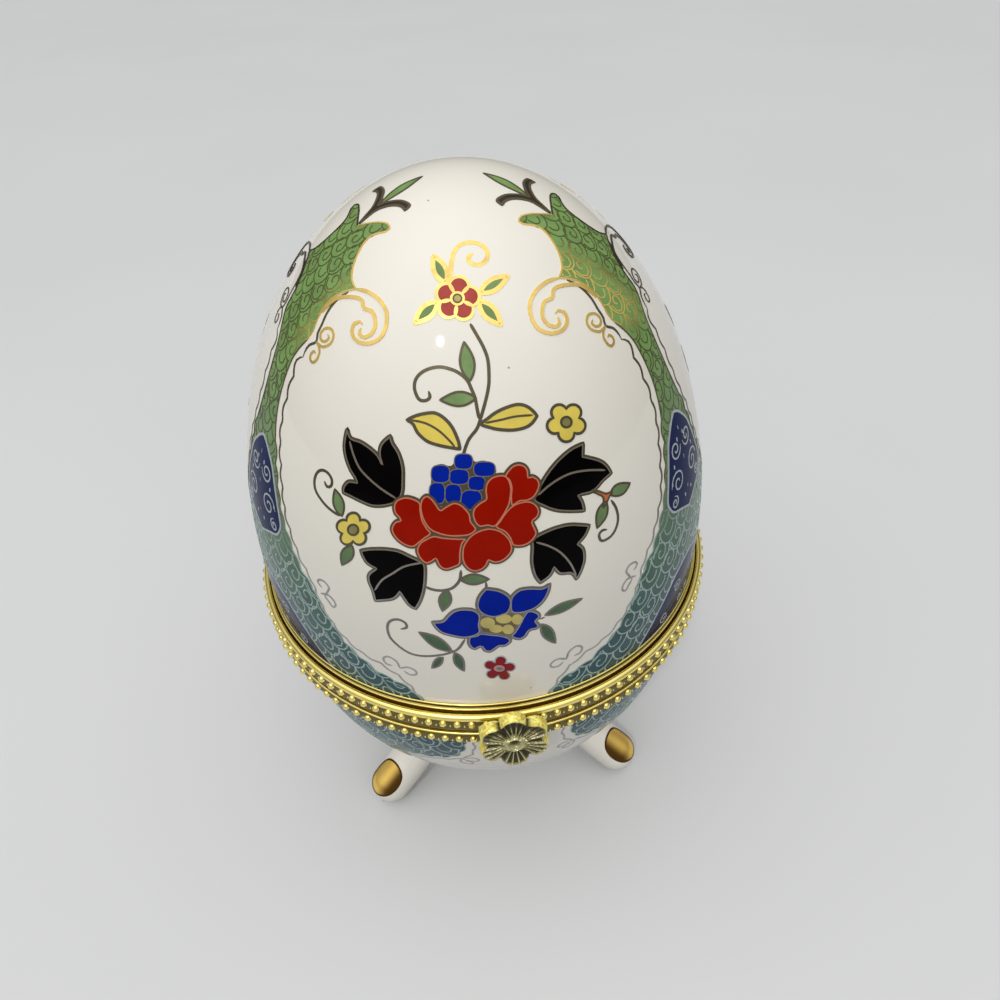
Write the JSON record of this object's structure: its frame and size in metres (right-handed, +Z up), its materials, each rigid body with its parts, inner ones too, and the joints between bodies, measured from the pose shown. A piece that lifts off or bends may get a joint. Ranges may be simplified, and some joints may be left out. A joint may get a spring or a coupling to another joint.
{
  "type": "egg trinket box",
  "caption": "Hinged porcelain egg box on splayed feet, with gilt beaded collars at the parting line and a flower clasp, for keepsakes.",
  "frame": {"origin": "on the ground under the egg's axis", "axes": "+Z up along the egg's axis, clasp towards -Y, hinge towards +Y, +X to the right seen from the clasp"},
  "size_m": [0.0764, 0.0826, 0.1236],
  "materials": {
    "porcelain": "glazed white porcelain with painted enamel and gilt ornament",
    "polished_gilt": "polished gold-plated brass",
    "satin_gilt": "satin gold-plated brass"
  },
  "bodies": {
    "base": {"base_bowl": "porcelain", "rear_foot": "porcelain", "front_left_foot": "porcelain", "front_right_foot": "porcelain", "base_collar": "polished_gilt", "base_bead_band": "satin_gilt", "base_hinge_leaf": "satin_gilt", "hinge_pin": "polished_gilt", "clasp_catch": "satin_gilt"},
    "lid": {"lid_shell": "porcelain", "lid_collar": "polished_gilt", "lid_bead_band": "satin_gilt", "lid_hinge_leaf": "satin_gilt", "clasp_tongue": "satin_gilt", "clasp_flower": "polished_gilt"}
  },
  "joints": [
    {"name": "lid_hinge", "type": "hinge", "parent": "base", "child": "lid", "pos_m": [0, 0.04015, 0.0592], "axis": [-1, 0, 0], "range_deg": [0, 75]}
  ]
}
